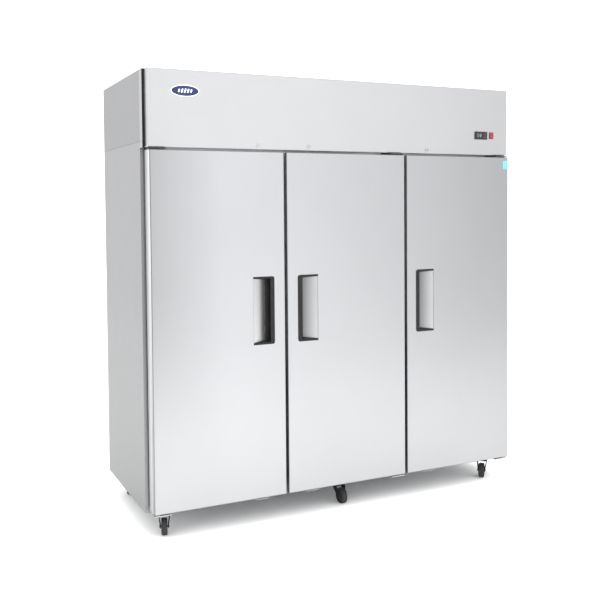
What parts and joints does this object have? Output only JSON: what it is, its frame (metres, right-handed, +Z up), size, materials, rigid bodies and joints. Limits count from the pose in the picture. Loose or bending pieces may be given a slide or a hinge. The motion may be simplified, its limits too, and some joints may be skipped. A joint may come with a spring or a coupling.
{
  "type": "reach in refrigerator",
  "caption": "Upright stainless reach-in refrigerator with hinged solid doors, recessed handles, a top machine compartment and swivel casters.",
  "frame": {"origin": "on the floor, under the middle of the bounding box", "axes": "+Z up, -Y towards the user (the doors face -Y), +X to the user's right"},
  "size_m": [1.976, 0.805, 2.08],
  "materials": {
    "stainless_skin": "brushed stainless sheet",
    "galvanised_sheet": "matt galvanised sheet",
    "aluminium_sheet": "satin aluminium",
    "door_filling": null,
    "cabinet_foam": null,
    "shelf_wire": "epoxy-coated steel wire",
    "black_steel": "black enamel",
    "black_plastic": "moulded, fine texture",
    "red_rocker": "translucent dark red",
    "black_rubber": "soft seal",
    "wheel_rubber": "moulded tread",
    "lock_metal": "plated",
    "coil_metal": "finned coil"
  },
  "bodies": {
    "cabinet": {"body_wrap": "galvanised_sheet", "compressor": "black_steel", "condenser_coil": "coil_metal", "controller": "black_plastic", "evaporator_housing": "aluminium_sheet", "face_frame": "stainless_skin", "foam_core": "cabinet_foam", "header_panel": "stainless_skin", "inner_liner": "stainless_skin", "left_bottom_hinge": "stainless_skin", "left_shelf_1": "shelf_wire", "left_shelf_2": "shelf_wire", "left_shelf_3": "shelf_wire", "left_side_panel": "stainless_skin", "left_top_hinge": "stainless_skin", "machine_shroud": "stainless_skin", "middle_bottom_hinge": "stainless_skin", "middle_shelf_1": "shelf_wire", "middle_shelf_2": "shelf_wire", "middle_shelf_3": "shelf_wire", "middle_top_hinge": "stainless_skin", "right_bottom_hinge": "stainless_skin", "right_shelf_1": "shelf_wire", "right_shelf_2": "shelf_wire", "right_shelf_3": "shelf_wire", "right_side_panel": "stainless_skin", "right_top_hinge": "stainless_skin"},
    "left_door": {"left_door_skin": "stainless_skin", "left_door_core": "door_filling", "left_gasket": "black_rubber", "left_handle": "black_plastic"},
    "middle_door": {"middle_door_skin": "stainless_skin", "middle_door_core": "door_filling", "middle_gasket": "black_rubber", "middle_handle": "black_plastic"},
    "right_door": {"right_door_skin": "stainless_skin", "right_door_core": "door_filling", "right_gasket": "black_rubber", "right_handle": "black_plastic"},
    "left_lock_barrel": {"left_lock": "lock_metal"},
    "middle_lock_barrel": {"middle_lock": "lock_metal"},
    "right_lock_barrel": {"right_lock": "lock_metal"},
    "power_switch": {"switch_rocker": "red_rocker"},
    "front_left_swivel": {"front_left_fork": "black_steel"},
    "front_left_roller": {"front_left_wheel": "wheel_rubber"},
    "front_left_brake_lever": {"front_left_brake": "black_steel"},
    "front_middle_swivel": {"front_middle_fork": "black_steel"},
    "front_middle_roller": {"front_middle_wheel": "wheel_rubber"},
    "front_middle_brake_lever": {"front_middle_brake": "black_steel"},
    "front_right_swivel": {"front_right_fork": "black_steel"},
    "front_right_roller": {"front_right_wheel": "wheel_rubber"},
    "front_right_brake_lever": {"front_right_brake": "black_steel"},
    "rear_left_swivel": {"rear_left_fork": "black_steel"},
    "rear_left_roller": {"rear_left_wheel": "wheel_rubber"},
    "rear_middle_swivel": {"rear_middle_fork": "black_steel"},
    "rear_middle_roller": {"rear_middle_wheel": "wheel_rubber"},
    "rear_right_swivel": {"rear_right_fork": "black_steel"},
    "rear_right_roller": {"rear_right_wheel": "wheel_rubber"},
    "condenser_fan_rotor": {"condenser_fan": "black_plastic"},
    "evaporator_fan_rotor": {"evaporator_fan": "black_plastic"}
  },
  "joints": [
    {"name": "left_door_hinge", "type": "hinge", "parent": "cabinet", "child": "left_door", "pos_m": [-0.9515, -0.3813, 0.924], "axis": [0, 0, -1], "range_deg": [0, 110], "stiffness_Nm_per_rad": 1.5, "springref_deg": -5.73},
    {"name": "middle_door_hinge", "type": "hinge", "parent": "cabinet", "child": "middle_door", "pos_m": [0.30333, -0.3813, 0.924], "axis": [0, 0, 1], "range_deg": [0, 110], "stiffness_Nm_per_rad": 1.5, "springref_deg": -5.73},
    {"name": "right_door_hinge", "type": "hinge", "parent": "cabinet", "child": "right_door", "pos_m": [0.9515, -0.3813, 0.924], "axis": [0, 0, 1], "range_deg": [0, 110], "stiffness_Nm_per_rad": 1.5, "springref_deg": -5.73},
    {"name": "left_lock_turn", "type": "hinge", "parent": "cabinet", "child": "left_lock_barrel", "pos_m": [-0.456, -0.3838, 1.755], "axis": [0, 1, 0], "range_deg": [0, 90]},
    {"name": "middle_lock_turn", "type": "hinge", "parent": "cabinet", "child": "middle_lock_barrel", "pos_m": [-0.197, -0.3838, 1.755], "axis": [0, 1, 0], "range_deg": [0, 90]},
    {"name": "right_lock_turn", "type": "hinge", "parent": "cabinet", "child": "right_lock_barrel", "pos_m": [0.469, -0.3838, 1.755], "axis": [0, 1, 0], "range_deg": [0, 90]},
    {"name": "power_switch_rock", "type": "hinge", "parent": "cabinet", "child": "power_switch", "pos_m": [0.873, -0.3798, 1.8385], "axis": [1, 0, 0], "range_deg": [0, 16]},
    {"name": "front_left_swivel_turn", "type": "hinge", "parent": "cabinet", "child": "front_left_swivel", "pos_m": [-0.895, -0.2813, 0.09], "axis": [0, 0, 1], "continuous": true},
    {"name": "front_left_wheel_spin", "type": "hinge", "parent": "front_left_swivel", "child": "front_left_roller", "pos_m": [-0.90492, -0.3159, 0.0375], "axis": [0.9613, -0.2756, 0], "continuous": true},
    {"name": "front_left_brake_press", "type": "hinge", "parent": "front_left_swivel", "child": "front_left_brake_lever", "pos_m": [-0.89335, -0.27553, 0.076], "axis": [-0.9613, 0.2756, 0], "range_deg": [0, 14]},
    {"name": "front_middle_swivel_turn", "type": "hinge", "parent": "cabinet", "child": "front_middle_swivel", "pos_m": [0, -0.2813, 0.09], "axis": [0, 0, 1], "continuous": true},
    {"name": "front_middle_wheel_spin", "type": "hinge", "parent": "front_middle_swivel", "child": "front_middle_roller", "pos_m": [0.00126, -0.31728, 0.0375], "axis": [0.9994, 0.0349, 0], "continuous": true},
    {"name": "front_middle_brake_press", "type": "hinge", "parent": "front_middle_swivel", "child": "front_middle_brake_lever", "pos_m": [-0.00021, -0.2753, 0.076], "axis": [-0.9994, -0.0349, 0], "range_deg": [0, 14]},
    {"name": "front_right_swivel_turn", "type": "hinge", "parent": "cabinet", "child": "front_right_swivel", "pos_m": [0.895, -0.2813, 0.09], "axis": [0, 0, 1], "continuous": true},
    {"name": "front_right_wheel_spin", "type": "hinge", "parent": "front_right_swivel", "child": "front_right_roller", "pos_m": [0.86999, -0.3072, 0.0375], "axis": [0.7193, -0.6947, 0], "continuous": true},
    {"name": "front_right_brake_press", "type": "hinge", "parent": "front_right_swivel", "child": "front_right_brake_lever", "pos_m": [0.89917, -0.27698, 0.076], "axis": [-0.7193, 0.6947, 0], "range_deg": [0, 14]},
    {"name": "rear_left_swivel_turn", "type": "hinge", "parent": "cabinet", "child": "rear_left_swivel", "pos_m": [-0.895, 0.3275, 0.09], "axis": [0, 0, 1], "continuous": true},
    {"name": "rear_left_wheel_spin", "type": "hinge", "parent": "rear_left_swivel", "child": "rear_left_roller", "pos_m": [-0.90731, 0.29367, 0.0375], "axis": [0.9397, -0.342, 0], "continuous": true},
    {"name": "rear_middle_swivel_turn", "type": "hinge", "parent": "cabinet", "child": "rear_middle_swivel", "pos_m": [0, 0.3275, 0.09], "axis": [0, 0, 1], "continuous": true},
    {"name": "rear_middle_wheel_spin", "type": "hinge", "parent": "rear_middle_swivel", "child": "rear_middle_roller", "pos_m": [0.01521, 0.29487, 0.0375], "axis": [0.9063, 0.4226, 0], "continuous": true},
    {"name": "rear_right_swivel_turn", "type": "hinge", "parent": "cabinet", "child": "rear_right_swivel", "pos_m": [0.895, 0.3275, 0.09], "axis": [0, 0, 1], "continuous": true},
    {"name": "rear_right_wheel_spin", "type": "hinge", "parent": "rear_right_swivel", "child": "rear_right_roller", "pos_m": [0.91814, 0.29992, 0.0375], "axis": [0.766, 0.6428, 0], "continuous": true},
    {"name": "condenser_fan_spin", "type": "hinge", "parent": "cabinet", "child": "condenser_fan_rotor", "pos_m": [0, -0.13, 1.8853], "axis": [0, 1, 0], "continuous": true},
    {"name": "evaporator_fan_spin", "type": "hinge", "parent": "cabinet", "child": "evaporator_fan_rotor", "pos_m": [0, 0.056, 1.5882], "axis": [0, 1, 0], "continuous": true}
  ]
}
